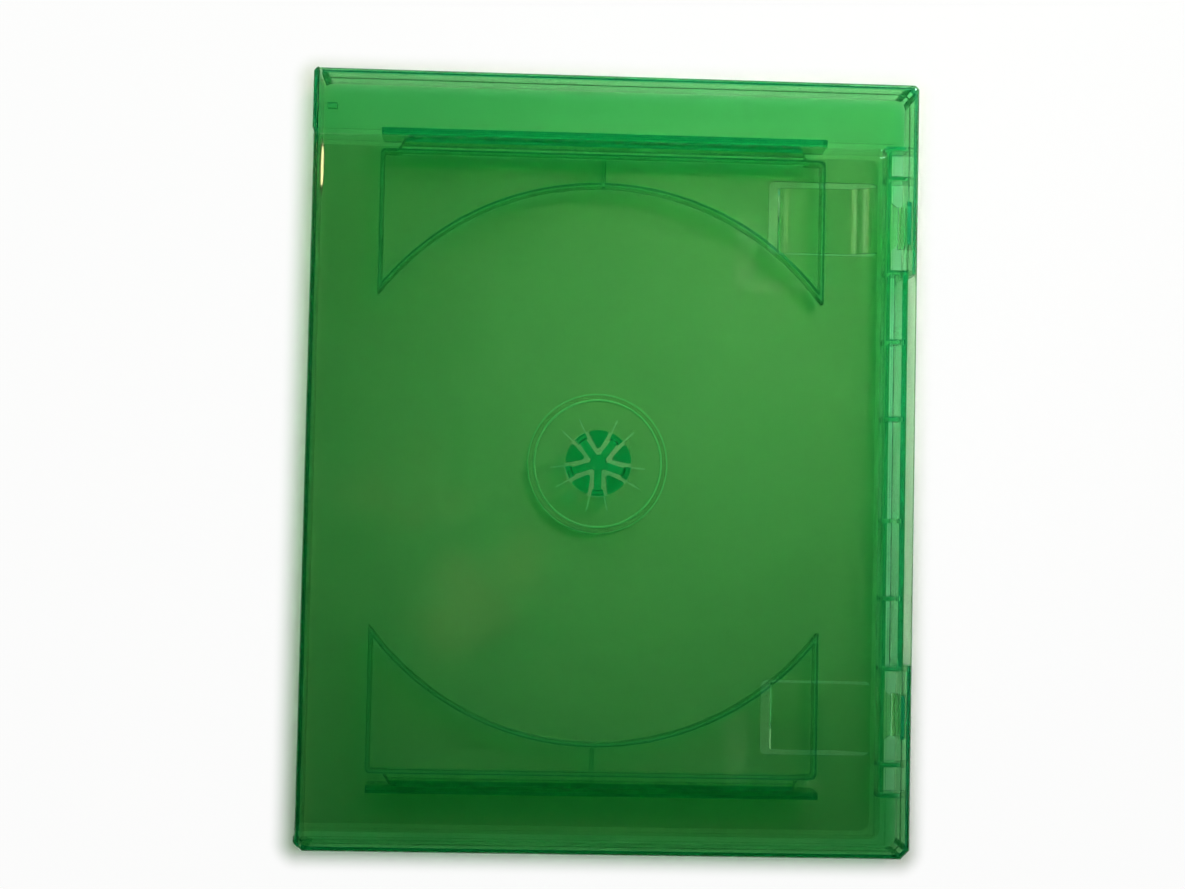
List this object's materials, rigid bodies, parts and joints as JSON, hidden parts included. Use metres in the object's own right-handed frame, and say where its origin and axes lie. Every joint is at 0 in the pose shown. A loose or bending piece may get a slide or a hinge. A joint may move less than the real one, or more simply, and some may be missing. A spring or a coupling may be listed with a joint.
{
  "type": "disc case",
  "caption": "Slim hinged case in clear green plastic with a raised hub that grips one disc and lets it go at a push, spring clips in the cover and a clear film sleeve.",
  "frame": {"origin": "middle of the back, under the closed case as it lies on a table", "axes": "+X from the spine to the opening edge, +Y from the bottom edge to the top edge, +Z out of the front cover"},
  "size_m": [0.135, 0.172, 0.014],
  "materials": {
    "green_plastic": "gloss, translucent",
    "clear_film": "gloss, clear"
  },
  "bodies": {
    "tray": {"disc_tray": "green_plastic", "sleeve_back": "clear_film"},
    "hub": {"hub_release": "green_plastic"},
    "spine": {"spine": "green_plastic", "sleeve_spine": "clear_film"},
    "cover": {"front_cover": "green_plastic", "sleeve_front": "clear_film"}
  },
  "joints": [
    {"name": "spine_hinge", "type": "hinge", "parent": "tray", "child": "spine", "pos_m": [-0.0669, 0, 0.0006], "axis": [0, -1, 0], "range_deg": [0, 90]},
    {"name": "cover_hinge", "type": "hinge", "parent": "spine", "child": "cover", "pos_m": [-0.0669, 0, 0.0134], "axis": [0, -1, 0], "range_deg": [0, 90]},
    {"name": "hub_press", "type": "slide", "parent": "tray", "child": "hub", "axis": [0, 0, -1], "range_m": [0, 0.001], "stiffness_N_per_m": 400}
  ]
}
